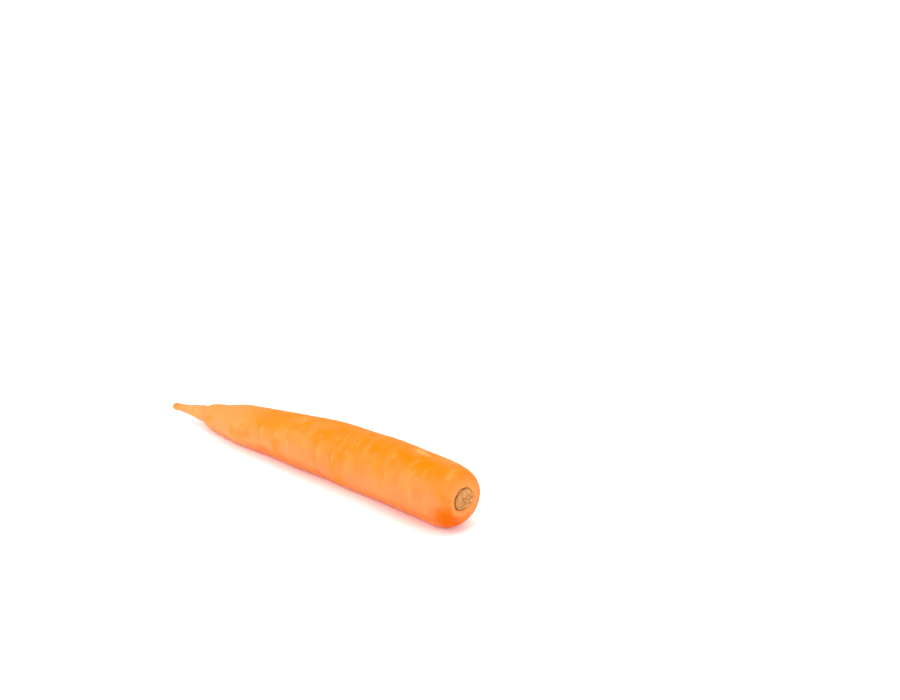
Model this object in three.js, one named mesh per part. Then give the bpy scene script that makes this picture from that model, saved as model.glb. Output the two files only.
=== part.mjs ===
// A carrot lying on a surface, with its leaf stalks cut off at the crown.
// Millimetres, +Z up. The crown points along +X and the thin tail along -X, and the belly rests on z = 0.
// The origin lies on that plane, under the middle of the carrot's box.
import * as THREE from "three";

// Driving dimensions. A place along the carrot is the distance from the crown's rim.
const BODY_LENGTH = 162; // from the rim to where the tail starts
const TAIL_LENGTH = 24;
const SHOULDER_RADIUS = 13; // the thickest place
const SHOULDER_DEPTH = 16; // the place where it is
const SHOULDER_FULLNESS = 2.4; // 2 is a quarter of an ellipse, and more is squarer
const RIM_RADIUS = 5.5; // the pale lip round the cut stalks
const PIT_RADIUS = 4.7;
const PIT_DEPTH = 1.9;
const TIP_RADIUS = 1.55; // the tail's rounded tip
const CROWN_RISE = 1.6; // how far the crown's middle stands above the shoulder's
const TAIL_HEIGHT = 4.9; // the tip's middle above the surface
const BELLY_SINK = 0.2; // depth of the flat strip that the carrot lies on
const BELLY_REACH = 0.12; // share of the way round from the belly that stays free of relief
const STALK_GAP = 0.35; // the dried stalks have shrunk away from the pit's floor
const STALK_RADIUS = 4.3; // as wide as the scar in the crown
const STALK_TOP = 0.65; // depth of the grooves between the stalk ends
const STALK_RINGS = [
  { ends: 5, from: 0.5, to: 1.04, turn: 0.4, rise: 0.5 },
  { ends: 3, from: 0.15, to: 0.6, turn: 1.3, rise: 0.42 },
];
const BUD = { share: 0.2, rise: 0.3 };
const HEART = { across: 0.15, up: -0.11 }; // the rings' middle, as shares of the stalks' radius
const RING_OVAL = 1.22; // how much wider than high the rings are
const END_TURN = 0.34; // how far the stalk ends are turned out of even places
const END_SLOPE = 0.17; // width of an end's sloping edge, as a share of the same

const LENGTH = BODY_LENGTH + TAIL_LENGTH;
const CROWN_X = LENGTH / 2;
const BLUNT_START = 0.93 * BODY_LENGTH; // where the body turns in towards the tail
const TIP_START = LENGTH - TIP_RADIUS;

// Radius against place: nearly straight, then a blunt end and a thin tapering tail.
const BODY_PROFILE = [
  [SHOULDER_DEPTH, SHOULDER_RADIUS],
  [0.25 * BODY_LENGTH, SHOULDER_RADIUS],
  [0.42 * BODY_LENGTH, 0.945 * SHOULDER_RADIUS],
  [0.58 * BODY_LENGTH, 0.878 * SHOULDER_RADIUS],
  [0.72 * BODY_LENGTH, 0.783 * SHOULDER_RADIUS],
  [0.84 * BODY_LENGTH, 0.672 * SHOULDER_RADIUS],
  [BLUNT_START, 0.512 * SHOULDER_RADIUS],
  [0.96 * BODY_LENGTH, 0.468 * SHOULDER_RADIUS],
  [0.98 * BODY_LENGTH, 0.436 * SHOULDER_RADIUS],
  [0.992 * BODY_LENGTH, 0.405 * SHOULDER_RADIUS],
  [1.003 * BODY_LENGTH, 0.36 * SHOULDER_RADIUS],
  [BODY_LENGTH + 0.1 * TAIL_LENGTH, 0.295 * SHOULDER_RADIUS],
  [BODY_LENGTH + 0.3 * TAIL_LENGTH, 0.255 * SHOULDER_RADIUS],
  [BODY_LENGTH + 0.6 * TAIL_LENGTH, 1.35 * TIP_RADIUS],
  [TIP_START, TIP_RADIUS],
];

// Sideways place of the middle line: a lazy S.
const SIDEWAYS = [
  [0, -1.35],
  [0.12 * BODY_LENGTH, -0.2],
  [0.32 * BODY_LENGTH, 0.9],
  [0.6 * BODY_LENGTH, 0],
  [0.85 * BODY_LENGTH, -2.1],
  [BODY_LENGTH, -1.2],
  [LENGTH, -4.1],
];

// Long soft swells of the skin: height, waves per mm along, waves round, and start, as angles in radians.
const SWELLS = [
  { height: 0.22, along: 0.071, round: 2, start: 0.6 },
  { height: 0.15, along: 0.113, round: -3, start: 2.1 },
  { height: 0.1, along: 0.19, round: 1, start: 4 },
];

// What makes the scar in the crown uneven: share of its radius, waves round, and start.
const SCAR_WAVES = [
  { share: 0.05, round: 2, start: 0.9 },
  { share: 0.03, round: 3, start: 2.4 },
  { share: 0.015, round: 7, start: 0.2 },
];
const SCAR_REACH = 9; // radius at which the crown is round again

// Shallow grooves that run part of the way round, spread by golden-ratio steps so that no two line up.
const CREASES = 13;
const CREASE_DEPTH = 0.38;
const CREASE_WIDTH = 1.5;
const CREASE_SLANT = 0.5;
const CREASE_STEP = 0.618;
const CREASE_TURN = 0.7549;
const CREASE_REACH = 0.5698;

// Facets.
const SIDES = 40;
const STALK_SIDES = 56;
const SHOULDER_STEPS = 9;
const BODY_STEP = 2.2;
const END_STEPS = 26;
const TIP_STEPS = 3;
const STALK_STEPS = 15;

const ORANGE = 0xf58a2c;
const DRY_BROWN = 0xb07d42;

const clamp01 = (v) => Math.min(Math.max(v, 0), 1);
const smooth = (v) => clamp01(v) ** 2 * (3 - 2 * clamp01(v));
const fraction = (v) => v - Math.floor(v);

// A cubic through rows of [place, value], with the slope at each row taken from its neighbours.
function through(rows, place) {
  let i = 0;
  while (i < rows.length - 2 && place > rows[i + 1][0]) i += 1;
  const slope = (k) => {
    const before = rows[Math.max(k - 1, 0)];
    const after = rows[Math.min(k + 1, rows.length - 1)];
    return (after[1] - before[1]) / (after[0] - before[0]);
  };
  const [x0, y0] = rows[i];
  const [x1, y1] = rows[i + 1];
  const h = x1 - x0;
  const t = clamp01((place - x0) / h);
  const leaving = slope(i) * h * t * (1 - t) ** 2;
  const arriving = slope(i + 1) * h * t * t * (1 - t);
  return y0 + (y1 - y0) * smooth(t) + leaving - arriving;
}

// Radius between the rim and the thickest place: a quarter of a squared-off ellipse.
function shoulderRadius(place) {
  const left = 1 - clamp01(place / SHOULDER_DEPTH);
  const round = (1 - left ** SHOULDER_FULLNESS) ** (1 / SHOULDER_FULLNESS);
  return RIM_RADIUS + (SHOULDER_RADIUS - RIM_RADIUS) * round;
}

// Height of the middle line, so that the belly lies along the surface and the tail stands just off it.
function middleHeight(place) {
  const crown = CROWN_RISE * clamp01(1 - place / SHOULDER_DEPTH) ** 3;
  const lying = through(BODY_PROFILE, Math.min(Math.max(place, SHOULDER_DEPTH), BLUNT_START));
  const tail = clamp01((place - BLUNT_START) / (LENGTH - BLUNT_START));
  const leaving = tail * smooth(3 * tail);
  return lying + crown + (TAIL_HEIGHT - lying) * leaving - BELLY_SINK * (1 - tail);
}

// How far the skin stands out of its smooth radius. It fades out at both ends and along the belly.
function relief(place, angle) {
  const ends = clamp01(place / 6) * clamp01((BODY_LENGTH - place) / 12);
  const offBelly = smooth((1 + Math.sin(angle)) / BELLY_REACH);
  let out = 0;
  for (const swell of SWELLS) {
    out += swell.height * Math.sin(swell.along * place + swell.round * angle + swell.start);
  }
  for (let k = 0; k < CREASES; k += 1) {
    const centre = SHOULDER_DEPTH + 0.84 * BODY_LENGTH * fraction(0.13 + CREASE_STEP * k);
    const facing = 2 * Math.PI * fraction(0.31 + CREASE_TURN * k);
    const reach = 0.55 + 0.6 * fraction(CREASE_REACH * k);
    const turn = Math.atan2(Math.sin(angle - facing), Math.cos(angle - facing));
    const across = (place - centre - CREASE_SLANT * turn) / CREASE_WIDTH;
    out -= CREASE_DEPTH * Math.exp(-across * across) * (1 - smooth(Math.abs(turn) / reach));
  }
  return out * ends * offBelly;
}

// The radius near the scar, made uneven all the way round.
function uneven(place, radius, angle) {
  if (place > SHOULDER_DEPTH / 2) return radius;
  let wave = 0;
  for (const { share, round, start } of SCAR_WAVES) wave += share * Math.sin(round * angle + start);
  return radius * (1 + wave * smooth((SCAR_REACH - radius) / (SCAR_REACH - RIM_RADIUS)));
}

// Height of the cut face above its grooves: two rings of stalk ends round a small bud. The rings are oval and
// off the middle, and a slow wave turns their ends, so that no two are alike.
function stalkEnds(share, angle) {
  const across = share * Math.cos(angle) - HEART.across;
  const up = RING_OVAL * (share * Math.sin(angle) - HEART.up);
  const reach = Math.hypot(across, up);
  const facing = Math.atan2(up, across);
  const turned = facing + END_TURN * Math.sin(2 * facing + 1.1);
  let rise = BUD.rise * smooth((BUD.share - reach) / END_SLOPE);
  for (const ring of STALK_RINGS) {
    const outer = smooth((ring.to - Math.min(share, reach)) / END_SLOPE);
    const within = outer * smooth((reach - ring.from) / END_SLOPE);
    const cut = 0.78 + 0.22 * Math.sin(3 * facing + ring.turn);
    rise += ring.rise * cut * within * Math.abs(Math.cos(0.5 * ring.ends * turned + ring.turn)) ** 0.7;
  }
  return rise;
}

// Lays a lathe down along the carrot's middle line. The lathe's height is the place along the carrot, and
// move gives each vertex its new place and radius.
function layDown(profile, sides, lowest, move) {
  const geometry = new THREE.LatheGeometry(profile, sides);
  const position = geometry.getAttribute("position");
  for (let i = 0; i < position.count; i += 1) {
    const angle = Math.atan2(position.getX(i), position.getZ(i));
    const radius = Math.hypot(position.getX(i), position.getZ(i));
    const moved = move(position.getY(i), radius, angle);
    const y = through(SIDEWAYS, moved.place) + moved.radius * Math.cos(angle);
    const z = middleHeight(moved.place) + moved.radius * Math.sin(angle);
    position.setXYZ(i, CROWN_X - moved.place, y, Math.max(z, lowest));
  }
  geometry.computeVertexNormals();
  return geometry;
}

// The root's profile from the tail's tip round the body, shoulder and lip to the middle of the pit.
function rootProfile() {
  const points = [];
  const add = (radius, place) => points.unshift(new THREE.Vector2(radius, place));
  add(0, PIT_DEPTH);
  add(0.55 * PIT_RADIUS, PIT_DEPTH);
  add(0.93 * PIT_RADIUS, PIT_DEPTH);
  add(PIT_RADIUS, 0.45 * PIT_DEPTH);
  add((PIT_RADIUS + RIM_RADIUS) / 2, 0.1 * PIT_DEPTH);
  for (let i = 0; i <= SHOULDER_STEPS; i += 1) {
    const place = SHOULDER_DEPTH * (1 - Math.cos(((i / SHOULDER_STEPS) * Math.PI) / 2));
    add(shoulderRadius(place), place);
  }
  const bodySteps = Math.round((BLUNT_START - SHOULDER_DEPTH) / BODY_STEP);
  for (let i = 1; i <= bodySteps; i += 1) {
    const place = SHOULDER_DEPTH + ((BLUNT_START - SHOULDER_DEPTH) * i) / bodySteps;
    add(through(BODY_PROFILE, place), place);
  }
  for (let i = 1; i <= END_STEPS; i += 1) {
    const place = BLUNT_START + ((TIP_START - BLUNT_START) * i) / END_STEPS;
    add(through(BODY_PROFILE, place), place);
  }
  for (let i = 1; i < TIP_STEPS; i += 1) {
    const turn = ((i / TIP_STEPS) * Math.PI) / 2;
    add(TIP_RADIUS * Math.cos(turn), TIP_START + TIP_RADIUS * Math.sin(turn));
  }
  add(0, LENGTH);
  return points;
}

// The whole root in one piece: crown with its pit, body and tail.
function makeRoot() {
  const inPit = (place, radius) => radius <= RIM_RADIUS && place <= PIT_DEPTH;
  const geometry = layDown(rootProfile(), SIDES, 0, (place, radius, angle) => ({
    place,
    radius: uneven(place, inPit(place, radius) ? radius : radius + relief(place, angle), angle),
  }));
  const material = new THREE.MeshStandardMaterial({ color: ORANGE, roughness: 0.42, metalness: 0 });
  const mesh = new THREE.Mesh(geometry, material);
  mesh.name = "root";
  return mesh;
}

// The dried leaf stalks: a thick disc in the pit, cut off level with the lip.
function makeStalkStub() {
  const bottom = PIT_DEPTH - STALK_GAP;
  const profile = [
    new THREE.Vector2(0, bottom),
    new THREE.Vector2(0.9 * STALK_RADIUS, bottom),
    new THREE.Vector2(STALK_RADIUS, (bottom + STALK_TOP) / 2),
  ];
  for (let i = 0; i <= STALK_STEPS; i += 1) {
    profile.push(new THREE.Vector2(STALK_RADIUS * (1 - i / STALK_STEPS), STALK_TOP));
  }
  const onTop = (place) => place < STALK_TOP + 0.01;
  const geometry = layDown(profile, STALK_SIDES, 0, (place, radius, angle) => ({
    place: onTop(place) ? place - stalkEnds(radius / STALK_RADIUS, angle) : place,
    radius: uneven(place, radius, angle),
  }));
  const material = new THREE.MeshStandardMaterial({ color: DRY_BROWN, roughness: 0.85, metalness: 0 });
  const mesh = new THREE.Mesh(geometry, material);
  mesh.name = "leaf_stalk_stub";
  return mesh;
}

const carrot = new THREE.Group();
carrot.add(makeRoot(), makeStalkStub());

export default carrot;
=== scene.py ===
"""A fresh carrot lying on a pale floor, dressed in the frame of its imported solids.

The crown points along +X and the tail along -X, the belly lies on z = 0. Shapes are worked out in millimetres
as whole arrays and put into meshes in metres. A place along the carrot is its distance from the crown's rim,
and an angle round it starts at +Y and passes straight up at a quarter turn.
"""

from __future__ import annotations

import logging
import math
from collections.abc import Sequence
from dataclasses import dataclass, field
from enum import Enum

import bpy
import numpy as np
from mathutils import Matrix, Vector

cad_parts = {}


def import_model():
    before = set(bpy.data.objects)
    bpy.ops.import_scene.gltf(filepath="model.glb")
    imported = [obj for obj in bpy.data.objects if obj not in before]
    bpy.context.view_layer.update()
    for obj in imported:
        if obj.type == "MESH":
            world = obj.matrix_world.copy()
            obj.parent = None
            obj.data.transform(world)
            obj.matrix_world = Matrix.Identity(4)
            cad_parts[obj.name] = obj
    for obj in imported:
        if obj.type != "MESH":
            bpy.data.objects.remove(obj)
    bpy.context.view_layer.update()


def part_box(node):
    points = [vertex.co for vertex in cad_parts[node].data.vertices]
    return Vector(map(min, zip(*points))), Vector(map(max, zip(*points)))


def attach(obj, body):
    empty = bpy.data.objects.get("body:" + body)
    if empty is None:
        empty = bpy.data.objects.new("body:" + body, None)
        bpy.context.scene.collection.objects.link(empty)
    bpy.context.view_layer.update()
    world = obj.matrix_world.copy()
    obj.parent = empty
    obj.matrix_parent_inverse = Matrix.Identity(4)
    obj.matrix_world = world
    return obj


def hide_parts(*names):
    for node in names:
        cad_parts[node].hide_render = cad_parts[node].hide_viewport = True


MM = 0.001
FULL_TURN = 2.0 * math.pi
BODY = "root"
GOLDEN_STEP = 0.618034
PLASTIC_STEP = 0.754878
QUARTER = math.pi / 2.0

Rows = Sequence[tuple[float, float]]
Colour = tuple[float, float, float, float]

log = logging.getLogger("carrot")


class Trace(Enum):
    """What a vertex of the skin carries for its material, by the name of its attribute."""

    PALE = "pale_mark"
    LINE = "dark_line"
    # Real amber patches, and also the painted deeper amber on the top.
    AMBER = "amber_patch_and_painted_top"
    STAIN = "brown_stain"
    STREAK = "cross_streak"
    CROWN = "near_stalks"
    # Painted pale sheen on the flanks, standing in for the white floor's reflection.
    TAIL = "near_tail"
    SIDE_SHEEN = "painted_side_sheen"
    # Painted shade under the crown.
    CROWN_UNDERSHADE = "painted_shade_under_crown"
    # Painted darker, redder shade on the underside.
    UNDERSIDE_SHADE = "painted_underside_shade"


class StalkTrace(Enum):
    """What a vertex of the cut stalks carries for its material."""

    # Darker where the cut face is low, and a painted shadow crescent on one side.
    GROOVE_AND_SHADOW = "groove"
    FIBRE = "fibre"


def srgb(red: float, green: float, blue: float) -> Colour:
    """A colour picked on a screen, as the linear colour that a shader takes.

    Args:
        red: From 0 to 255.
        green: From 0 to 255.
        blue: From 0 to 255.

    Returns:
        Linear red, green and blue with full alpha.
    """
    shares = [channel / 255.0 for channel in (red, green, blue)]
    linear = [share / 12.92 if share <= 0.04045 else ((share + 0.055) / 1.055) ** 2.4 for share in shares]
    return (linear[0], linear[1], linear[2], 1.0)


def clamp01(value: np.ndarray) -> np.ndarray:
    """The value held between 0 and 1."""
    return np.clip(value, 0.0, 1.0)


def smooth(value: np.ndarray) -> np.ndarray:
    """A rise from 0 to 1 with level ends: 3 t squared less 2 t cubed."""
    held = clamp01(value)
    return held * held * (3.0 - 2.0 * held)


def fraction(value: float) -> float:
    """What is left of a number over the whole number below it."""
    return value - math.floor(value)


def turn_between(angle: np.ndarray, facing: float) -> np.ndarray:
    """The signed turn from facing to each angle, the short way round."""
    return np.arctan2(np.sin(angle - facing), np.cos(angle - facing))


def through(rows: Rows, place: np.ndarray) -> np.ndarray:
    """A cubic through rows of place and value, its slope at each row taken from the rows beside it.

    Args:
        rows: Pairs of place and value, in order of place.
        place: Where to read the curve.

    Returns:
        The curve's values, level outside the first and last row.
    """
    at = np.array([row[0] for row in rows])
    value = np.array([row[1] for row in rows])
    last = len(rows) - 1
    before = np.maximum(np.arange(len(rows)) - 1, 0)
    after = np.minimum(np.arange(len(rows)) + 1, last)
    slope = (value[after] - value[before]) / (at[after] - at[before])
    held = np.asarray(place, float)
    i = np.clip(np.searchsorted(at, held) - 1, 0, last - 1)
    step = at[i + 1] - at[i]
    t = clamp01((held - at[i]) / step)
    leaving = slope[i] * step * t * (1.0 - t) ** 2
    arriving = slope[i + 1] * step * t * t * (1.0 - t)
    return value[i] + (value[i + 1] - value[i]) * smooth(t) + leaving - arriving


@dataclass(frozen=True)
class SkinNoise:
    """Smooth chance relief on the carrot's skin, which closes on itself all the way round.

    A table of random values stands on a lattice of places and angles. A point between them gets the four
    values around it, blended by a smooth step in both directions.
    """

    cell: float
    round_cells: int
    seed: int

    def at(self, place: np.ndarray, angle: np.ndarray) -> np.ndarray:
        """The noise, from -1 to 1.

        Args:
            place: Distance from the rim, in mm.
            angle: Angle round the carrot, in radians.

        Returns:
            One value for each point.
        """
        along = np.asarray(place, float) / self.cell + 4.0
        across = np.mod(angle / FULL_TURN, 1.0) * self.round_cells
        row = np.floor(along).astype(int)
        column = np.floor(across).astype(int)
        table = np.random.default_rng(self.seed).uniform(-1.0, 1.0, (int(row.max()) + 2, self.round_cells))
        up = smooth(along - row)
        over = smooth(across - column)
        column = column % self.round_cells
        beside = (column + 1) % self.round_cells
        low = table[row, column] * (1.0 - over) + table[row, beside] * over
        high = table[row + 1, column] * (1.0 - over) + table[row + 1, beside] * over
        return low * (1.0 - up) + high * up


@dataclass(frozen=True)
class Swell:
    """One long soft wave of the skin, in mm and in radians."""

    height: float
    along: float
    round: int
    start: float


@dataclass(frozen=True)
class Wave:
    """A wave round the scar: its share of the radius, how many times it goes round, and its start."""

    share: float
    round: int
    start: float


@dataclass(frozen=True)
class CarrotForm:
    """The carrot's form in mm, as its solids have it."""

    body_length: float = 162.0
    tail_length: float = 24.0
    shoulder_radius: float = 13.0
    shoulder_depth: float = 16.0
    shoulder_fullness: float = 2.4
    rim_radius: float = 5.5
    pit_radius: float = 4.7
    pit_depth: float = 1.9
    tip_radius: float = 1.55
    crown_rise: float = 1.6
    tail_height: float = 4.9
    belly_sink: float = 0.2
    belly_reach: float = 0.12
    crown_fade: float = 6.0
    tail_fade: float = 12.0
    swells: tuple[Swell, ...] = (
        Swell(0.22, 0.071, 2, 0.6),
        Swell(0.15, 0.113, -3, 2.1),
        Swell(0.1, 0.19, 1, 4.0),
    )
    scar_waves: tuple[Wave, ...] = (Wave(0.05, 2, 0.9), Wave(0.03, 3, 2.4), Wave(0.015, 7, 0.2))
    scar_reach: float = 9.0
    creases: int = 13
    crease_depth: float = 0.38
    crease_width: float = 1.5
    crease_slant: float = 0.5
    crease_step: float = 0.618
    crease_turn: float = 0.7549
    crease_reach: float = 0.5698
    crease_span: float = 0.84
    crease_first: float = 0.13
    crease_facing: float = 0.31
    shortest_crease: float = 0.55
    crease_spread: float = 0.6
    floor_share: float = 0.93
    wall_knee: float = 0.55
    knee_depth: float = 0.45

    @property
    def length(self) -> float:
        """The whole length, rim to tip."""
        return self.body_length + self.tail_length

    @property
    def blunt_start(self) -> float:
        """Where the body turns in towards the tail."""
        return 0.93 * self.body_length

    @property
    def tip_start(self) -> float:
        """Where the tail's rounded tip starts."""
        return self.length - self.tip_radius

    def profile_rows(self) -> Rows:
        """Radius against place: nearly straight, then a blunt end and a thin tapering tail.

        Returns:
            Rows of place and radius in mm.
        """
        body = self.body_length
        tail = self.tail_length
        shares = [
            (self.shoulder_depth, 1.0),
            (0.25 * body, 1.0),
            (0.42 * body, 0.945),
            (0.58 * body, 0.878),
            (0.72 * body, 0.783),
            (0.84 * body, 0.672),
            (self.blunt_start, 0.512),
            (0.96 * body, 0.468),
            (0.98 * body, 0.436),
            (0.992 * body, 0.405),
            (1.003 * body, 0.36),
            (body + 0.1 * tail, 0.295),
            (body + 0.3 * tail, 0.255),
        ]
        rows = [(place, share * self.shoulder_radius) for place, share in shares]
        rows.append((body + 0.6 * tail, 1.35 * self.tip_radius))
        rows.append((self.tip_start, self.tip_radius))
        return rows

    def sideways_rows(self) -> Rows:
        """Sideways place of the middle line: a lazy S.

        Returns:
            Rows of place and sideways step in mm.
        """
        body = self.body_length
        return [
            (0.0, -1.35),
            (0.12 * body, -0.2),
            (0.32 * body, 0.9),
            (0.6 * body, 0.0),
            (0.85 * body, -2.1),
            (body, -1.2),
            (self.length, -4.1),
        ]

    def shoulder(self, place: np.ndarray) -> np.ndarray:
        """Radius between the rim and the thickest place: a quarter of a squared-off ellipse.

        Args:
            place: Distance from the rim, in mm.

        Returns:
            The radius in mm.
        """
        left = 1.0 - clamp01(place / self.shoulder_depth)
        rounded = (1.0 - left**self.shoulder_fullness) ** (1.0 / self.shoulder_fullness)
        return self.rim_radius + (self.shoulder_radius - self.rim_radius) * rounded

    def middle_height(self, place: np.ndarray) -> np.ndarray:
        """Height of the middle line: the radius along the lying body, raised at the crown, level at the tail.

        Args:
            place: Distance from the rim, in mm.

        Returns:
            The height above the floor in mm.
        """
        crown = self.crown_rise * clamp01(1.0 - place / self.shoulder_depth) ** 3
        lying = through(self.profile_rows(), np.clip(place, self.shoulder_depth, self.blunt_start))
        tail = clamp01((place - self.blunt_start) / (self.length - self.blunt_start))
        leaving = tail * smooth(3.0 * tail)
        return lying + crown + (self.tail_height - lying) * leaving - self.belly_sink * (1.0 - tail)

    def relief(self, place: np.ndarray, angle: np.ndarray) -> np.ndarray:
        """How far the skin stands out of its smooth radius.

        Long sine waves carry a number of grooves, each a bell curve along the carrot that fades out as it
        runs round. Both fade at the two ends and along the belly.

        Args:
            place: Distance from the rim, in mm.
            angle: Angle round the carrot, in radians.

        Returns:
            The step outwards, in mm.
        """
        ends = clamp01(place / self.crown_fade) * clamp01((self.body_length - place) / self.tail_fade)
        off_belly = smooth((1.0 + np.sin(angle)) / self.belly_reach)
        out = np.zeros(np.broadcast(place, angle).shape)
        for swell in self.swells:
            out = out + swell.height * np.sin(swell.along * place + swell.round * angle + swell.start)
        for k in range(self.creases):
            along = fraction(self.crease_first + self.crease_step * k)
            centre = self.shoulder_depth + self.crease_span * self.body_length * along
            facing = FULL_TURN * fraction(self.crease_facing + self.crease_turn * k)
            reach = self.shortest_crease + self.crease_spread * fraction(self.crease_reach * k)
            turn = turn_between(angle, facing)
            across = (place - centre - self.crease_slant * turn) / self.crease_width
            out = out - self.crease_depth * np.exp(-across * across) * (1.0 - smooth(np.abs(turn) / reach))
        return out * ends * off_belly

    def uneven(self, place: np.ndarray, radius: np.ndarray, angle: np.ndarray) -> np.ndarray:
        """The radius near the scar, made uneven all the way round by waves that fade over the shoulder.

        Args:
            place: Distance from the rim, in mm.
            radius: Distance from the middle line, in mm.
            angle: Angle round the carrot, in radians.

        Returns:
            The new radius in mm.
        """
        wave = sum(each.share * np.sin(each.round * angle + each.start) for each in self.scar_waves)
        fade = smooth((self.scar_reach - radius) / (self.scar_reach - self.rim_radius))
        return radius * (1.0 + np.where(place > self.shoulder_depth / 2.0, 0.0, wave * fade))

    def lay(self, place: np.ndarray, radius: np.ndarray, angle: np.ndarray) -> np.ndarray:
        """Points of the carrot, laid along its middle line and kept off the floor's underside.

        Args:
            place: Distance from the rim, in mm.
            radius: Distance from the middle line, in mm.
            angle: Angle round the carrot, in radians.

        Returns:
            An array whose last axis is x, y and z in mm.
        """
        x = np.broadcast_to(self.length / 2.0 - place, np.broadcast(place, angle).shape)
        y = through(self.sideways_rows(), place) + radius * np.cos(angle)
        z = self.middle_height(place) + radius * np.sin(angle)
        return np.stack([x, y, np.maximum(z, 0.0)], axis=-1)

    def outline(self) -> np.ndarray:
        """The root's profile as close points: pit floor, wall, lip, shoulder, body, tail and tip.

        Returns:
            Rows of place and radius in mm, from the middle of the pit to the tip.
        """
        turn = np.linspace(0.0, QUARTER, 60)
        foot = self.floor_share * self.pit_radius
        floor_radius = np.linspace(0.1, self.floor_share, 8) * self.pit_radius
        floor = np.stack([np.full(floor_radius.shape, self.pit_depth), floor_radius], 1)
        climb = np.linspace(0.0, 1.0, 40)[1:-1]
        knee = self.wall_knee
        wall_radius = through([(0.0, foot), (knee, self.pit_radius), (1.0, self.rim_radius)], climb)
        knee_place = self.knee_depth * self.pit_depth
        wall_place = through([(0.0, self.pit_depth), (knee, knee_place), (1.0, 0.0)], climb)
        wall = np.stack([wall_place, wall_radius], 1)
        shoulder_place = self.shoulder_depth * (1.0 - np.cos(turn))
        shoulder = np.stack([shoulder_place, self.shoulder(shoulder_place)], 1)
        body_place = np.linspace(self.shoulder_depth, self.tip_start, 900)[1:]
        body = np.stack([body_place, through(self.profile_rows(), body_place)], 1)
        tip_turn = turn[1:-1]
        tip_place = self.tip_start + self.tip_radius * np.sin(tip_turn)
        tip = np.stack([tip_place, self.tip_radius * np.cos(tip_turn)], 1)
        return np.concatenate([floor, wall, shoulder, body, tip])


def spaced(points: np.ndarray, count: int) -> np.ndarray:
    """Points at equal steps of length along a polyline, from its first to its last.

    Args:
        points: The polyline, a row of two numbers for each point.
        count: How many points to give.

    Returns:
        The new points, in rows of two numbers.
    """
    step = np.hypot(*np.diff(points, axis=0).T)
    travelled = np.concatenate([[0.0], np.cumsum(step)])
    stops = np.linspace(0.0, travelled[-1], count)
    return np.stack([np.interp(stops, travelled, points[:, 0]), np.interp(stops, travelled, points[:, 1])], 1)


def grid_normals(points: np.ndarray) -> np.ndarray:
    """Outward unit normals of rings of points: the cross product of the steps along and round, made one long.

    Args:
        points: Rings by columns by three.

    Returns:
        A unit vector for each point.
    """
    along = np.gradient(points, axis=0)
    around = np.roll(points, -1, axis=1) - np.roll(points, 1, axis=1)
    normal = np.cross(along, around)
    return normal / np.maximum(np.linalg.norm(normal, axis=-1, keepdims=True), 1e-9)


def ring_mesh(name: str, rings: np.ndarray, first: np.ndarray, last: np.ndarray) -> bpy.types.Object:
    """A closed piece made of rings of points with one point at each end.

    Args:
        name: The piece's name.
        rings: Points in mm, rings by columns by three, from the end that faces +X to the other.
        first: The end point that faces +X.
        last: The other end point.

    Returns:
        The new object, with faces pointing outwards.
    """
    count, columns = rings.shape[:2]
    vertices = np.concatenate([rings.reshape(-1, 3), first[None], last[None]]) * MM
    here = np.arange(count * columns).reshape(count, columns)
    beside = np.roll(here, -1, axis=1)
    quads = np.stack([here[:-1], here[1:], beside[1:], beside[:-1]], axis=-1).reshape(-1, 4)
    first_index = np.full(columns, count * columns)
    first_fan = np.stack([first_index, here[0], beside[0]], axis=-1)
    last_fan = np.stack([first_index + 1, beside[-1], here[-1]], axis=-1)
    mesh = bpy.data.meshes.new(name)
    mesh.from_pydata(vertices.tolist(), [], quads.tolist() + first_fan.tolist() + last_fan.tolist())
    mesh.shade_smooth()
    mesh.update()
    piece = bpy.data.objects.new(name, mesh)
    bpy.context.scene.collection.objects.link(piece)
    return piece


def trace_on(piece: bpy.types.Object, trace: Enum, values: np.ndarray, first: float, last: float) -> None:
    """Stores one number for each vertex of a ring mesh.

    Args:
        piece: The object from ring_mesh.
        trace: Which number it is, and the attribute's name.
        values: One value for each point of the rings.
        first: The value of the end point that faces +X.
        last: The value of the other end point.
    """
    attribute = piece.data.attributes.new(trace.value, "FLOAT", "POINT")
    attribute.data.foreach_set("value", np.concatenate([values.ravel(), [first, last]]).astype(np.float32))


class Signal:
    """A shader socket that can be written in sums and products."""

    def __init__(self, sheet: Sheet, socket: bpy.types.NodeSocket) -> None:
        """Wraps a node's output."""
        self.sheet = sheet
        self.socket = socket

    def _math(self, operation: str, first: Signal | float, second: Signal | float) -> Signal:
        """A Math node of two values."""
        return self.sheet.signal("ShaderNodeMath", {"operation": operation}, {0: first, 1: second})

    def __add__(self, other: Signal | float) -> Signal:
        """Sum."""
        return self._math("ADD", self, other)

    def __radd__(self, other: float) -> Signal:
        """Sum with the number in front."""
        return self._math("ADD", other, self)

    def __sub__(self, other: Signal | float) -> Signal:
        """Difference."""
        return self._math("SUBTRACT", self, other)

    def __rsub__(self, other: float) -> Signal:
        """Difference with the number in front."""
        return self._math("SUBTRACT", other, self)

    def __mul__(self, other: Signal | float) -> Signal:
        """Product."""
        return self._math("MULTIPLY", self, other)

    def __rmul__(self, other: float) -> Signal:
        """Product with the number in front."""
        return self._math("MULTIPLY", other, self)

    def between(self, low: float, high: float) -> Signal:
        """A smooth rise from 0 at low to 1 at high."""
        return self.sheet.signal(
            "ShaderNodeMapRange", {"interpolation_type": "SMOOTHSTEP"}, {0: self, 1: low, 2: high}
        )


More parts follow.
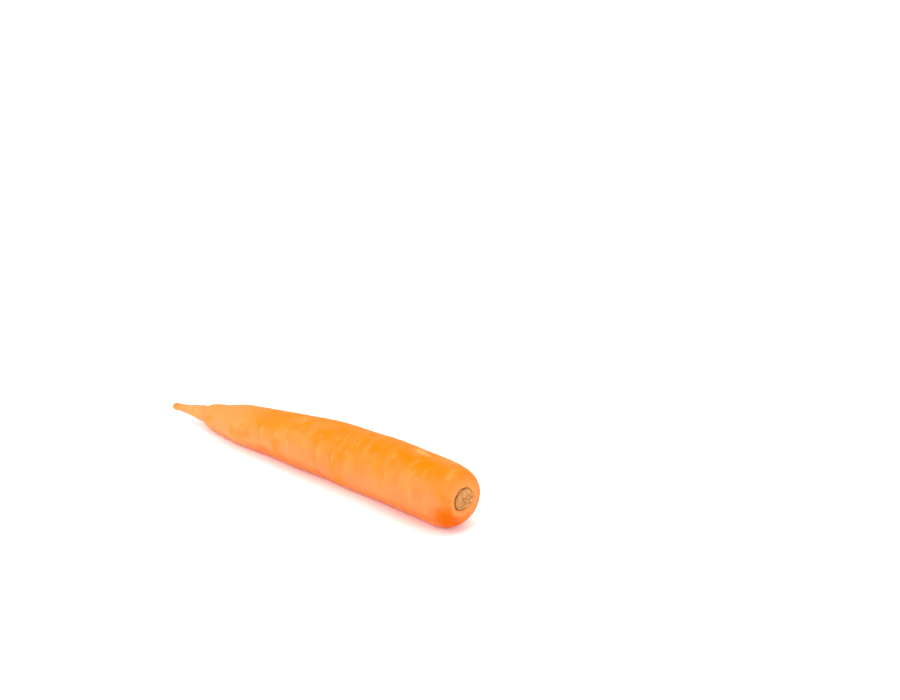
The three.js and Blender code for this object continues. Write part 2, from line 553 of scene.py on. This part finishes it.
class Sheet:
    """The node tree of one material."""

    def __init__(self, name: str) -> None:
        """Makes an empty material.

        Args:
            name: The material's name.
        """
        self.material = bpy.data.materials.new(name)
        self.material.use_nodes = True
        self.tree = self.material.node_tree
        self.tree.nodes.clear()

    def node(self, kind: str, settings: dict[str, object], inputs: dict[str | int, object]) -> bpy.types.Node:
        """Adds a node.

        Args:
            kind: The node's type.
            settings: Its own properties, set first.
            inputs: Values or signals for its sockets, by name or number.

        Returns:
            The node.
        """
        made = self.tree.nodes.new(kind)
        for key, value in settings.items():
            setattr(made, key, value)
        for key, value in inputs.items():
            if isinstance(value, Signal):
                self.tree.links.new(value.socket, made.inputs[key])
            else:
                made.inputs[key].default_value = value
        return made

    def signal(
        self, kind: str, settings: dict[str, object], inputs: dict[str | int, object], output: str | int = 0
    ) -> Signal:
        """Adds a node as node does, and gives the output of that name or number."""
        return Signal(self, self.node(kind, settings, inputs).outputs[output])

    def trace(self, trace: Enum) -> Signal:
        """The number that the piece's vertices carry under that name."""
        settings = {"attribute_type": "GEOMETRY", "attribute_name": trace.value}
        return self.signal("ShaderNodeAttribute", settings, {}, "Fac")

    def noise(self, size: tuple[float, float, float], detail: float = 3.0, roughness: float = 0.5) -> Signal:
        """Noise on Object coordinates, from 0 to 1.

        Args:
            size: How large its lumps are along x, y and z, in mm.
            detail: How many finer layers it has.
            roughness: How strong the finer layers are.

        Returns:
            The noise.
        """
        place = self.signal("ShaderNodeTexCoord", {}, {}, "Object")
        scale = tuple(1.0 / (length * MM) for length in size)
        spread = self.signal("ShaderNodeMapping", {}, {"Vector": place, "Scale": scale})
        inputs = {"Vector": spread, "Scale": 1.0, "Detail": detail, "Roughness": roughness}
        return self.signal("ShaderNodeTexNoise", {}, inputs, 0)

    def blend(self, share: Signal | float, first: Signal | Colour, second: Signal | Colour) -> Signal:
        """A colour that goes from first at 0 to second at 1."""
        settings = {"data_type": "RGBA", "clamp_factor": True}
        return self.signal("ShaderNodeMix", settings, {0: share, 6: first, 7: second}, 2)

    def bump(self, height: Signal, distance: float, before: Signal | None = None) -> Signal:
        """A normal that follows a height.

        Args:
            height: From 0 to 1.
            distance: How high 1 stands, in mm.
            before: A normal to build on.

        Returns:
            The normal.
        """
        inputs: dict[str | int, object] = {"Height": height, "Distance": distance * MM, "Strength": 1.0}
        if before is not None:
            inputs["Normal"] = before
        return self.signal("ShaderNodeBump", {}, inputs)

    def finish(self, inputs: dict[str | int, object]) -> bpy.types.Material:
        """Closes the tree with a Principled shader.

        Args:
            inputs: Values or signals for the shader's sockets.

        Returns:
            The material.
        """
        shader = self.signal("ShaderNodeBsdfPrincipled", {}, inputs)
        self.node("ShaderNodeOutputMaterial", {}, {"Surface": shader})
        return self.material


@dataclass(frozen=True)
class CarrotSkin:
    """Finish of the root: moist orange skin with paler cross streaks, amber patches and corky marks, with
    painted light: a pale painted sheen on the flanks, a deeper painted amber on the top, and a darker painted
    shade on the underside and under the crown.
    """

    deep: Colour = srgb(235, 108, 12)
    middle: Colour = srgb(238, 118, 40)
    # Paler peach of the painted sheen on the flanks.
    painted_sheen_peach: Colour = srgb(240, 115, 66)
    pale: Colour = srgb(240, 130, 64)
    # Amber of the patches, also used for the painted deeper amber on the top.
    amber: Colour = srgb(218, 111, 0)
    # Painted shade colour under the crown.
    painted_shade_orange: Colour = srgb(236, 86, 0)
    # Painted shade colour of the underside.
    belly: Colour = srgb(234, 98, 52)
    corky: Colour = srgb(246, 158, 92)
    line: Colour = srgb(130, 84, 22)
    stain: Colour = srgb(146, 104, 8)
    collar: Colour = srgb(240, 140, 76)
    pit: Colour = srgb(222, 148, 78)
    tail: Colour = srgb(238, 143, 86)
    sheen: Colour = (1.0, 0.78, 0.2, 1.0)
    mottle_size: tuple[float, float, float] = (16.0, 7.0, 7.0)
    streak_size: tuple[float, float, float] = (3.4, 12.0, 12.0)
    grain_size: tuple[float, float, float] = (0.5, 0.9, 0.9)
    grain_height: float = 0.05
    streak_height: float = 0.04
    under_skin: float = 4.0

    def material(self) -> bpy.types.Material:
        """Builds the material.

        Returns:
            A material that reads the skin's traces and Object coordinates.
        """
        sheet = Sheet("carrot_skin")
        mottle = sheet.noise(self.mottle_size, 4.0, 0.55)
        streaks = sheet.noise(self.streak_size, 3.0, 0.5)
        grain = sheet.noise(self.grain_size, 2.0, 0.6)
        colour = sheet.blend(mottle.between(0.3, 0.72), self.middle, self.deep)
        # Painted pale sheen on the flanks.
        colour = sheet.blend(sheet.trace(Trace.SIDE_SHEEN), colour, self.painted_sheen_peach)
        colour = sheet.blend(streaks.between(0.38, 0.75) * 0.45, colour, self.pale)
        colour = sheet.blend(sheet.trace(Trace.STREAK) * 0.5, colour, self.pale)
        colour = sheet.blend(sheet.trace(Trace.TAIL) * 0.8, colour, self.tail)
        # Painted darker shade on the underside.
        colour = sheet.blend(sheet.trace(Trace.UNDERSIDE_SHADE), colour, self.belly)
        # Amber patches, and the painted deeper amber on the top.
        colour = sheet.blend(sheet.trace(Trace.AMBER), colour, self.amber)
        colour = sheet.blend(sheet.trace(Trace.PALE) * (0.55 + 0.45 * grain), colour, self.corky)
        colour = sheet.blend(sheet.trace(Trace.STAIN) * 0.75, colour, self.stain)
        colour = sheet.blend(sheet.trace(Trace.LINE) * 0.75, colour, self.line)
        crown = sheet.trace(Trace.CROWN)
        colour = sheet.blend(crown.between(0.12, 0.85) * 0.75, colour, self.collar)
        # Painted shade under the crown, kept off the scar.
        colour = sheet.blend(sheet.trace(Trace.CROWN_UNDERSHADE) * (1.0 - crown.between(0.5, 0.8)), colour, self.painted_shade_orange)
        colour = sheet.blend(crown.between(0.955, 1.0), colour, self.pit)
        roughness = 0.5 + 0.1 * grain + 0.18 * sheet.trace(Trace.PALE) + 0.3 * crown.between(0.5, 1.0)
        normal = sheet.bump(grain, self.grain_height)
        normal = sheet.bump(streaks, self.streak_height, normal)
        return sheet.finish(
            {
                "Base Color": colour,
                "Roughness": roughness,
                "Normal": normal,
                "IOR": 1.36,
                "Specular IOR Level": 0.06,
                "Specular Tint": self.sheen,
                "Subsurface Weight": 0.45,
                "Subsurface Radius": (1.0, 0.36, 0.12),
                "Subsurface Scale": self.under_skin * MM,
            }
        )


@dataclass(frozen=True)
class DryStalk:
    """Finish of the cut stalks: dry, fibrous and brown, darker between the ends, with a painted shadow
    crescent on one side of the cut face.
    """

    light: Colour = srgb(206, 148, 94)
    middle: Colour = srgb(180, 122, 62)
    dark: Colour = srgb(148, 96, 42)
    speck_size: tuple[float, float, float] = (0.35, 0.35, 0.35)
    cloud_size: tuple[float, float, float] = (1.6, 1.6, 1.6)
    speck_height: float = 0.12

    def material(self) -> bpy.types.Material:
        """Builds the material.

        Returns:
            A material that reads the stalks' traces and Object coordinates.
        """
        sheet = Sheet("dry_stalk")
        fibre = sheet.trace(StalkTrace.FIBRE)
        speck = sheet.noise(self.speck_size, 3.0, 0.65)
        cloud = sheet.noise(self.cloud_size, 3.0, 0.6)
        colour = sheet.blend(cloud.between(0.36, 0.64) * 0.7 + fibre * 0.3, self.middle, self.light)
        # Darker between the stalk ends, and the painted shadow crescent.
        colour = sheet.blend(sheet.trace(StalkTrace.GROOVE_AND_SHADOW) * 0.8, colour, self.dark)
        colour = sheet.blend(speck.between(0.56, 0.8) * 0.45, colour, self.dark)
        return sheet.finish(
            {
                "Base Color": colour,
                "Roughness": 0.8 + 0.12 * speck,
                "Normal": sheet.bump(speck, self.speck_height),
                "IOR": 1.4,
            }
        )


@dataclass(frozen=True)
class Mark:
    """One soft-edged mark on the skin: where it is, its half sizes in mm, and what it does."""

    place: float
    turn: float
    half_along: float
    half_round: float
    trace: Trace
    strength: float = 1.0
    depth: float = 0.0


@dataclass(frozen=True)
class TailRing:
    """A brownish groove that runs round the tail: where it is, its half width in mm, and how dark it is."""

    place: float
    half_width: float
    strength: float


@dataclass
class Root:
    """The root: crown with its pit, body and tail, in one closed piece."""

    form: CarrotForm = field(default_factory=CarrotForm)
    skin: CarrotSkin = field(default_factory=CarrotSkin)
    rings: int = 560
    columns: int = 168
    small_marks: int = 130
    mark_seed: int = 23
    mark_start: float = 9.0
    mark_span: float = 0.92
    small_reach: tuple[float, float] = (0.7, 3.0)
    small_thin: tuple[float, float] = (0.26, 0.6)
    small_strength: tuple[float, float] = (0.06, 0.42)
    rootlet_every: int = 4
    rootlet_step: float = 1.7
    rootlet_rows: float = 90.0
    rootlet_spread: float = 13.0
    seen_marks: tuple[Mark, ...] = (
        Mark(32.2, 114.0, 3.4, 3.0, Trace.AMBER),
        Mark(17.5, 112.0, 8.5, 4.8, Trace.AMBER),
        Mark(9.5, 109.0, 4.0, 3.4, Trace.AMBER, 0.9),
        Mark(26.5, 87.0, 4.6, 1.5, Trace.PALE, 0.75),
        Mark(23.6, 80.0, 2.0, 0.48, Trace.LINE, 1.0, 0.1),
        Mark(4.0, 112.0, 1.3, 2.6, Trace.PALE, 0.3),
        Mark(5.6, 96.0, 1.1, 2.0, Trace.PALE, 0.25),
        # Painted shade under the crown.
        Mark(2.4, 226.0, 3.4, 8.5, Trace.CROWN_UNDERSHADE),
        Mark(127.8, 158.0, 1.6, 1.2, Trace.STAIN, 0.6),
        Mark(117.2, 146.0, 2.2, 1.5, Trace.STAIN, 0.7),
        Mark(114.6, 139.0, 1.2, 2.0, Trace.STAIN, 0.4),
        Mark(116.4, 119.0, 1.3, 2.6, Trace.STAIN, 0.55),
        Mark(112.6, 96.0, 1.0, 2.8, Trace.STAIN, 0.4),
        Mark(183.5, 90.0, 4.0, 6.0, Trace.STAIN, 0.55),
        Mark(119.0, 138.0, 7.0, 4.6, Trace.AMBER, 0.4),
        Mark(125.0, 105.0, 5.0, 4.0, Trace.AMBER, 0.35),
        Mark(136.4, 171.0, 1.7, 0.9, Trace.STAIN, 0.35),
        Mark(78.0, 128.0, 7.0, 3.4, Trace.AMBER, 0.8),
        Mark(71.9, 104.0, 7.0, 3.5, Trace.AMBER, 0.5),
        Mark(100.6, 150.0, 1.6, 4.5, Trace.STREAK),
        Mark(94.0, 132.0, 1.5, 4.0, Trace.STREAK),
        Mark(76.3, 169.0, 1.4, 4.5, Trace.STREAK),
        Mark(57.2, 166.0, 2.4, 4.5, Trace.STREAK),
        Mark(41.8, 157.0, 3.4, 5.0, Trace.STREAK),
        Mark(32.9, 174.0, 2.4, 4.5, Trace.STREAK),
    )
    tail_rings: tuple[TailRing, ...] = (
        TailRing(162.6, 0.9, 0.6),
        TailRing(166.2, 0.7, 0.4),
        TailRing(170.8, 0.8, 0.5),
        TailRing(176.4, 0.7, 0.4),
        TailRing(181.2, 0.6, 0.35),
    )
    ring_depth: float = 0.25
    ring_wander: float = 0.9
    fold_noise: SkinNoise = SkinNoise(1.1, 16, 3)
    short_fold_noise: SkinNoise = SkinNoise(0.7, 26, 4)
    ridge_noise: SkinNoise = SkinNoise(17.0, 90, 5)
    lump_noise: SkinNoise = SkinNoise(3.6, 22, 6)
    fold_height: float = 0.028
    ridge_height: float = 0.012
    lump_height: float = 0.035
    tail_lump_height: float = 0.08
    mark_reach: float = 3.0
    crown_zone: float = 7.0
    blush_start: float = 0.38
    blush_reach: float = 70.0
    # How strong the painted deeper amber on the top is, and where along the carrot it lies.
    painted_top_share: float = 0.7
    painted_top_start: float = 50.0
    painted_top_stop: float = 136.0
    # How strong the painted shade on the underside is.
    underside_shade_share: float = 0.75

    def marks(self) -> list[Mark]:
        """The marks seen on the carrot, and small corky ones scattered over the rest of the skin.

        Returns:
            All the marks. A golden-ratio step spreads the small ones, and a seeded draw sizes them.
        """
        draw = np.random.default_rng(self.mark_seed)
        found = list(self.seen_marks)
        for k in range(self.small_marks):
            along = fraction(GOLDEN_STEP * k + 0.02 * draw.uniform())
            place = self.mark_start + self.mark_span * self.form.body_length * along
            turn = 360.0 * fraction(PLASTIC_STEP * k + 0.05 * draw.uniform())
            reach = draw.uniform(*self.small_reach)
            thin = draw.uniform(*self.small_thin)
            strength = draw.uniform(*self.small_strength)
            found.append(Mark(place, turn, thin, reach, Trace.PALE, strength, -0.05 - 0.1 * strength))
            if k % self.rootlet_every == 0:
                row = self.rootlet_rows * (round(turn / self.rootlet_rows - 0.5) + 0.5)
                row = row + draw.uniform(-self.rootlet_spread, self.rootlet_spread)
                beside = place + self.rootlet_step
                found.append(Mark(beside, row, 0.9, 0.45 * reach, Trace.PALE, 0.4, 0.0))
                found.append(Mark(beside, row, 0.22, 0.5 * reach, Trace.LINE, 0.55, 0.1))
        return found

    def build(self) -> bpy.types.Object:
        """Makes the root's mesh.

        Returns:
            The piece, with its traces and its material.
        """
        form = self.form
        outline = spaced(form.outline(), self.rings)
        place = outline[:, :1]
        radius = outline[:, 1:]
        angle = np.linspace(0.0, FULL_TURN, self.columns, endpoint=False)[None, :] - QUARTER
        in_pit = (radius <= form.rim_radius) & (place <= form.pit_depth)
        skin_radius = radius + np.where(in_pit, 0.0, form.relief(place, angle))
        points = form.lay(place, form.uneven(place, skin_radius, angle), angle)
        traces = self.traces(place, radius, angle)
        fine = self.fine_relief(place, angle) + traces["depth"]
        awake = np.where(in_pit, 0.0, clamp01(place / 1.5)) * smooth((1.0 + np.sin(angle)) / form.belly_reach)
        points = points + grid_normals(points) * (fine * awake)[..., None]
        lowest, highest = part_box("root")
        points = np.clip(points, np.array(lowest) / MM, np.array(highest) / MM)
        first = form.lay(np.array(form.pit_depth), np.array(0.0), np.array(0.0))
        last = form.lay(np.array(form.length), np.array(0.0), np.array(0.0))
        piece = ring_mesh("carrot_root", points, first, last)
        for trace in Trace:
            values = traces[trace.value]
            trace_on(piece, trace, values, float(values[0, 0]), float(values[-1, 0]))
        piece.data.materials.append(self.skin.material())
        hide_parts("root")
        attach(piece, BODY)
        return piece

    def fine_relief(self, place: np.ndarray, angle: np.ndarray) -> np.ndarray:
        """Fine wrinkles of the skin: short folds across the root, long faint ridges and small lumps.

        Each is a noise of its own. The folds grow near the crown and on the tail, the lumps on the tail.

        Args:
            place: Distance from the rim, in mm.
            angle: Angle round the carrot, in radians.

        Returns:
            The step outwards, in mm.
        """
        folds = self.fold_noise.at(place, angle) + 0.6 * self.short_fold_noise.at(place, angle)
        ridges = self.ridge_noise.at(place, angle)
        lumps = self.lump_noise.at(place, angle)
        tail = smooth((place - self.form.body_length + 6.0) / 10.0)
        crinkled = 1.0 + 1.4 * smooth((14.0 - place) / 12.0) + 1.6 * tail
        lump_height = self.lump_height + self.tail_lump_height * tail
        return self.fold_height * crinkled * folds + self.ridge_height * ridges + lump_height * lumps

    def traces(self, place: np.ndarray, radius: np.ndarray, angle: np.ndarray) -> dict[str, np.ndarray]:
        """What the skin's vertices carry.

        Args:
            place: Distance from the rim, in mm.
            radius: Distance from the middle line, in mm.
            angle: Angle round the carrot, in radians.

        Returns:
            Values from 0 to 1 by the name of their attribute, and the marks' depth in mm.
        """
        shape = np.broadcast(place, angle).shape
        found = {trace.value: np.zeros(shape) for trace in Trace}
        found["depth"] = np.zeros(shape)
        ragged = 0.35 * SkinNoise(1.2, 40, 8).at(place, angle)
        self.add_marks(found, place, radius, angle, ragged)
        self.add_tail_rings(found, place, angle)
        self.add_ends(found, place, radius, ragged)
        self.add_sides(found, place, angle)
        return found

    def add_marks(
        self,
        found: dict[str, np.ndarray],
        place: np.ndarray,
        radius: np.ndarray,
        angle: np.ndarray,
        ragged: np.ndarray,
    ) -> None:
        """Adds every mark to its trace, and its depth.

        Each mark is a bell with a flat top: the exponential of minus the cube of the distance from its
        centre, measured in its half sizes along and round.

        Args:
            found: The traces so far, which are changed.
            place: Distance from the rim, in mm.
            radius: Distance from the middle line, in mm.
            angle: Angle round the carrot, in radians.
            ragged: A noise that frays the marks' edges.
        """
        for mark in self.marks():
            near = np.abs(place[:, 0] - mark.place) < self.mark_reach * mark.half_along
            rows = np.flatnonzero(near)
            around = turn_between(angle, math.radians(mark.turn)) * radius[rows] / mark.half_round
            along = (place[rows] - mark.place) / mark.half_along
            bell = np.exp(-(np.hypot(along, around) * (1.0 + ragged[rows])) ** 3)
            layer = found[mark.trace.value]
            layer[rows] = np.maximum(layer[rows], mark.strength * bell)
            found["depth"][rows] -= mark.depth * bell

    def add_tail_rings(self, found: dict[str, np.ndarray], place: np.ndarray, angle: np.ndarray) -> None:
        """Adds the grooves round the tail: bell curves along it whose place wanders as they run round.

        Args:
            found: The traces so far, which are changed.
            place: Distance from the rim, in mm.
            angle: Angle round the carrot, in radians.
        """
        wavy = place + self.ring_wander * SkinNoise(6.0, 5, 16).at(place, angle)
        fading = 0.65 + 0.35 * SkinNoise(3.0, 9, 17).at(place, angle)
        for ring in self.tail_rings:
            bell = fading * np.exp(-(((wavy - ring.place) / ring.half_width) ** 2))
            found[Trace.LINE.value] = np.maximum(found[Trace.LINE.value], ring.strength * bell)
            found["depth"] -= self.ring_depth * ring.strength * bell

    def add_ends(
        self, found: dict[str, np.ndarray], place: np.ndarray, radius: np.ndarray, ragged: np.ndarray
    ) -> None:
        """Adds how near the skin is to the stalks and to the tail, as ramps of the radius and of the place.

        Args:
            found: The traces so far, which are changed.
            place: Distance from the rim, in mm.
            radius: Distance from the middle line, in mm.
            ragged: A noise that frays the crown's ramp.
        """
        form = self.form
        shape = ragged.shape
        crown = 1.0 - clamp01((radius - form.pit_radius) / self.crown_zone)
        crown = np.where(place < form.shoulder_depth, crown, 0.0) + 0.12 * ragged * (1.0 - crown)
        found[Trace.CROWN.value] = np.broadcast_to(np.where(place < 9.0, crown, 0.0), shape).copy()
        tail = 0.55 * smooth((place - self.blush_start * form.body_length) / self.blush_reach)
        tail = tail + 0.45 * smooth((place - form.body_length + 4.0) / 12.0)
        found[Trace.TAIL.value] = np.broadcast_to(tail, shape).copy()

    def add_sides(self, found: dict[str, np.ndarray], place: np.ndarray, angle: np.ndarray) -> None:
        """Adds the streaks and patches, and painted light: a deeper painted amber on the top, a pale painted
        sheen on the flanks and a darker painted shade on the underside.

        The bands are smooth steps of the sine of the angle, whose borders wander by two noises.

        Args:
            found: The traces so far, which are changed.
            place: Distance from the rim, in mm.
            angle: Angle round the carrot, in radians.
        """
        streaks = SkinNoise(4.2, 7, 9).at(place, angle) * SkinNoise(11.0, 5, 10).at(place, angle)
        found[Trace.STREAK.value] = np.maximum(found[Trace.STREAK.value], smooth(streaks / 0.35) * 0.7)
        patches = SkinNoise(13.0, 6, 12).at(place, angle) + 0.4 * SkinNoise(4.0, 16, 13).at(place, angle)
        amber = smooth((patches - 0.3) / 0.6) * 0.6
        wander = 0.3 * SkinNoise(19.0, 7, 14).at(place, angle)
        wander = wander + 0.12 * SkinNoise(5.0, 20, 15).at(place, angle)
        height = np.sin(angle) - wander
        # Painted pale sheen on the flanks: strongest at the sides, none on the top and the underside.
        found[Trace.SIDE_SHEEN.value] = smooth((0.9 - height) / 1.1) * smooth((height + 0.85) / 0.5)
        # Painted deeper amber on the top, along the middle of the carrot.
        along_top = smooth((place - self.painted_top_start) / 30.0) * smooth((self.painted_top_stop - place) / 26.0)
        golden = self.painted_top_share * smooth((height - 0.58) / 0.3) * along_top
        found[Trace.AMBER.value] = np.maximum(found[Trace.AMBER.value], np.maximum(amber, golden))
        # Painted darker shade on the underside.
        found[Trace.UNDERSIDE_SHADE.value] = self.underside_shade_share * smooth((-0.3 - height) / 0.6)


@dataclass(frozen=True)
class StalkRing:
    """A ring of cut stalk ends: how many, the shares of the radius it spans, its turn and its height."""

    ends: int
    start: float
    stop: float
    turn: float
    rise: float


@dataclass
class StalkStub:
    """The dried leaf stalks in the crown's pit, cut off level with its lip."""

    form: CarrotForm = field(default_factory=CarrotForm)
    finish: DryStalk = field(default_factory=DryStalk)
    radius: float = 4.3
    gap: float = 0.35
    top: float = 0.65
    bud_share: float = 0.2
    bud_rise: float = 0.3
    heart: tuple[float, float] = (0.15, -0.11)
    ring_oval: float = 1.22
    end_turn: float = 0.34
    end_slope: float = 0.17
    stalk_rings: tuple[StalkRing, ...] = (
        StalkRing(5, 0.5, 1.04, 0.4, 0.5),
        StalkRing(3, 0.15, 0.6, 1.3, 0.42),
    )
    flare: float = 0.085
    open_side: float = 0.03
    open_facing: float = 140.0
    shaded_facing: float = 160.0
    lift: float = 0.05
    side_groove: float = 0.4
    fibre_noise: SkinNoise = SkinNoise(0.25, 60, 31)
    crumb_noise: SkinNoise = SkinNoise(0.5, 24, 32)
    edge_noise: SkinNoise = SkinNoise(9.0, 26, 33)
    roughness: float = 0.04
    ragged_share: float = 0.08
    taper: float = 0.1
    steps: int = 90
    columns: int = 210

    def ends(self, share: np.ndarray, angle: np.ndarray) -> np.ndarray:
        """Height of the cut face above its grooves: two rings of stalk ends round a small bud.

        The rings are oval and off the middle, and a slow wave turns their ends, so that no two are alike.

        Args:
            share: Share of the stub's radius.
            angle: Angle round it, in radians.

        Returns:
            The height in mm.
        """
        across = share * np.cos(angle) - self.heart[0]
        up = self.ring_oval * (share * np.sin(angle) - self.heart[1])
        reach = np.hypot(across, up)
        facing = np.arctan2(up, across)
        turned = facing + self.end_turn * np.sin(2.0 * facing + 1.1)
        rise = self.bud_rise * smooth((self.bud_share - reach) / self.end_slope)
        for ring in self.stalk_rings:
            outer = smooth((ring.stop - np.minimum(share, reach)) / self.end_slope)
            within = outer * smooth((reach - ring.start) / self.end_slope)
            cut = 0.78 + 0.22 * np.sin(3.0 * facing + ring.turn)
            split = np.abs(np.cos(0.5 * ring.ends * turned + ring.turn)) ** 0.7
            rise = rise + ring.rise * cut * within * split
        return rise

    def build(self) -> bpy.types.Object:
        """Makes the stub's mesh.

        Returns:
            The piece, with its traces and its material.
        """
        form = self.form
        bottom = form.pit_depth - self.gap
        angle = np.linspace(0.0, FULL_TURN, self.columns, endpoint=False)[None, :]
        share = np.linspace(0.01, 1.0, self.steps)[:, None]
        rise = self.ends(share, angle)
        fibres = self.fibre_noise.at(share * self.radius, angle)
        crumbs = self.crumb_noise.at(share * self.radius, angle)
        rough = smooth((1.0 - share) / 0.08) * self.roughness * (fibres + crumbs)
        top_place = self.top - rise * (0.92 + 0.08 * crumbs) - rough + self.lift
        side_share = np.linspace(0.0, 1.0, 8)[1:, None]
        side_place = self.top + self.lift + (bottom - self.top - self.lift) * side_share
        flared = self.flare * smooth(1.0 - 5.0 * side_share)
        side_radius = self.radius * (1.0 + flared - self.taper * side_share)
        ragged = 1.0 - self.ragged_share * smooth(0.5 + self.edge_noise.at(np.zeros((1, 1)), angle))
        ragged = ragged * (1.02 - self.open_side * np.cos(angle - math.radians(self.open_facing)))
        place = np.concatenate([top_place, np.broadcast_to(side_place, (len(side_place), self.columns))])
        radius = np.concatenate([share * self.radius * (1.0 + self.flare) * ragged, side_radius * ragged])
        points = form.lay(place, form.uneven(place, radius, angle), angle)
        lowest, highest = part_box("leaf_stalk_stub")
        points = np.clip(points, np.array(lowest) / MM, np.array(highest) / MM)
        first = points[0].mean(axis=0)
        last = form.lay(np.array(bottom), np.array(0.0), np.array(0.0))
        piece = ring_mesh("carrot_stalk_stub", points, first, last)
        # Painted shadow crescent near the rim, on one side of the cut face.
        facing_shade = np.cos(angle - math.radians(self.shaded_facing))
        shaded = smooth((share - 0.55) / 0.4) * smooth(0.5 + facing_shade)
        low = np.maximum(0.85 * (1.0 - smooth(rise / 0.4)), 0.7 * shaded)
        side_groove = np.full((len(side_place), self.columns), self.side_groove)
        groove = np.concatenate([np.broadcast_to(low, rise.shape), side_groove])
        fibre = np.concatenate([0.5 + 0.5 * fibres, np.zeros((len(side_place), self.columns))])
        trace_on(piece, StalkTrace.GROOVE_AND_SHADOW, groove, 0.0, self.side_groove)
        trace_on(piece, StalkTrace.FIBRE, fibre, 0.5, 0.0)
        piece.data.materials.append(self.finish.material())
        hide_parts("leaf_stalk_stub")
        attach(piece, BODY)
        return piece


@dataclass(frozen=True)
class SoftLight:
    """A square studio light, in metres and watts, that shines at a point."""

    name: str
    place: tuple[float, float, float]
    aim: tuple[float, float, float]
    side: float
    watts: float

    def build(self) -> bpy.types.Object:
        """Adds the light to the scene.

        Returns:
            The light's object.
        """
        lamp = bpy.data.lights.new(self.name, "AREA")
        lamp.shape = "SQUARE"
        lamp.size = self.side
        lamp.energy = self.watts
        light = bpy.data.objects.new(self.name, lamp)
        light.location = self.place
        way = Vector(self.aim) - Vector(self.place)
        light.rotation_euler = way.to_track_quat("-Z", "Y").to_euler()
        bpy.context.scene.collection.objects.link(light)
        return light


@dataclass
class Studio:
    """The pale floor, the soft lights and the camera."""

    floor_side: float = 9.0
    floor_drop: float = 0.00004
    floor_white: Colour = (0.95, 0.95, 0.95, 1.0)
    surround: float = 0.67
    lens: float = 85.0
    pitch: float = 18.0
    turn: float = -42.86
    distance: float = 1.04
    aim: tuple[float, float, float] = (-0.0805, 0.1519, -0.0006)
    lights: tuple[SoftLight, ...] = (
        SoftLight("overhead", (0.1, 0.1, 1.3), (0.0, 0.0, 0.0), 1.2, 10.0),
        SoftLight("back", (-0.7, 1.2, 0.8), (-0.2, 0.1, 0.0), 1.0, 7.0),
        SoftLight("side", (1.2, -0.1, 0.5), (0.0, 0.0, 0.0), 0.8, 5.0),
        SoftLight("front", (0.05, -1.1, 0.95), (0.0, 0.0, 0.0), 1.2, 13.0),
        SoftLight("low_fill", (0.3, -1.3, 0.22), (0.0, 0.0, 0.0), 0.4, 7.0),
    )

    def build_floor(self) -> bpy.types.Object:
        """Lays the floor, which isn't part of the carrot.

        Returns:
            The floor's object.
        """
        half = self.floor_side / 2.0
        corners = [(-half, -half), (half, -half), (half, half), (-half, half)]
        mesh = bpy.data.meshes.new("pale_floor")
        mesh.from_pydata([(x, y, -self.floor_drop) for x, y in corners], [], [(0, 1, 2, 3)])
        floor = bpy.data.objects.new("pale_floor", mesh)
        bpy.context.scene.collection.objects.link(floor)
        sheet = Sheet("pale_floor")
        mesh.materials.append(sheet.finish({"Base Color": self.floor_white, "Roughness": 0.7}))
        return floor

    def build_surround(self) -> None:
        """Gives the room an even white glow."""
        world = bpy.data.worlds.new("white_room")
        world.use_nodes = True
        world.node_tree.nodes["Background"].inputs["Color"].default_value = (1.0, 1.0, 1.0, 1.0)
        world.node_tree.nodes["Background"].inputs["Strength"].default_value = self.surround
        bpy.context.scene.world = world

    def build_camera(self) -> bpy.types.Object:
        """Stands the camera at its distance from the aim, turned and pitched, level with the horizon.

        Returns:
            The camera's object.
        """
        pitch = math.radians(self.pitch)
        turn = math.radians(self.turn)
        back = Vector((math.cos(turn) * math.cos(pitch), math.sin(turn) * math.cos(pitch), math.sin(pitch)))
        seen = bpy.data.cameras.new("camera")
        seen.lens = self.lens
        seen.clip_end = 50.0
        camera = bpy.data.objects.new("camera", seen)
        camera.location = Vector(self.aim) + back * self.distance
        camera.rotation_euler = (-back).to_track_quat("-Z", "Y").to_euler()
        bpy.context.scene.collection.objects.link(camera)
        bpy.context.scene.camera = camera
        return camera

    def build(self) -> None:
        """Builds the whole studio, with plain screen colours."""
        self.build_camera()
        self.build_floor()
        self.build_surround()
        for light in self.lights:
            light.build()
        bpy.context.scene.view_settings.view_transform = "Standard"


def corners(box: tuple[Sequence[float], Sequence[float]]) -> list[list[float]]:
    """A box as plain lists of numbers."""
    return [[float(number) for number in corner] for corner in box]


def main() -> None:
    """Builds the studio and the carrot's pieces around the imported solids."""
    logging.basicConfig(level=logging.INFO, format="%(message)s")
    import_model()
    Studio().build()
    for assembly in (Root(), StalkStub()):
        piece = assembly.build()
        log.info("%s: %d faces", piece.name, len(piece.data.polygons))


if __name__ == "__main__":
    main()
